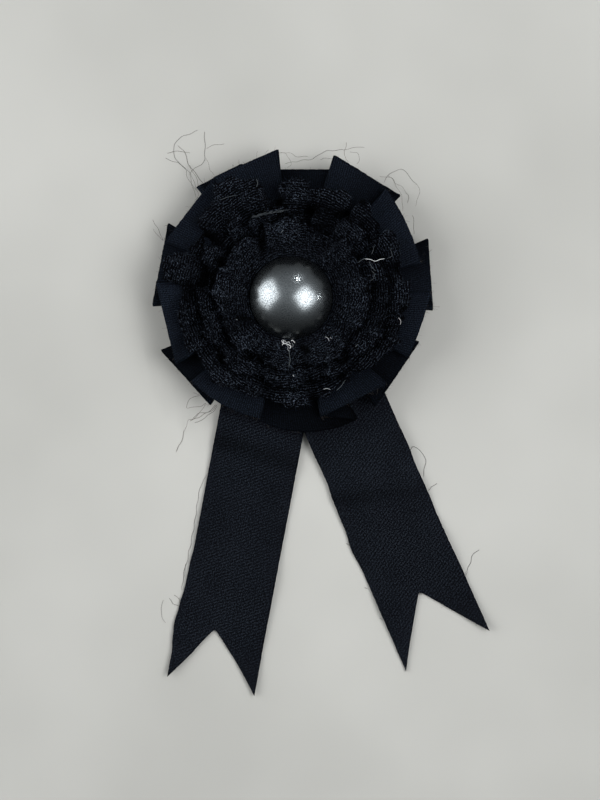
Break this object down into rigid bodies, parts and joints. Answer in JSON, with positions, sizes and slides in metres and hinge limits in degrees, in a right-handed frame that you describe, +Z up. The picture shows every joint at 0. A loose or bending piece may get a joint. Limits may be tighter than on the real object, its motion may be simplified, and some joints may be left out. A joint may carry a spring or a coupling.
{
  "type": "rosette brooch",
  "caption": "Cloth rosette brooch with a pleated ribbon ring, gathered tweed ruffles, a half-round pearl, two swallow-tailed ribbons and a bar pin on the back.",
  "frame": {"origin": "on the surface the brooch lies on, under the middle of the pearl, midway along the pin", "axes": "+Z up out of the face of the rosette, +Y to its top as it is worn, away from the tails, +X to the viewer's right"},
  "size_m": [0.1031, 0.1665, 0.0249],
  "materials": {
    "ribbon": "fine twill, raw edges",
    "tweed": "rough ribbed tweed",
    "pearl": "satin",
    "pin": "satin"
  },
  "bodies": {
    "root": {"pin_back": "pin", "base_disc": "ribbon", "tail_left": "ribbon", "tail_right": "ribbon", "outer_ruffle": "ribbon", "tweed_ruffle_outer": "tweed", "tweed_ruffle_middle": "tweed", "tweed_ruffle_inner": "tweed", "pearl_dome": "pearl"}
  },
  "joints": []
}
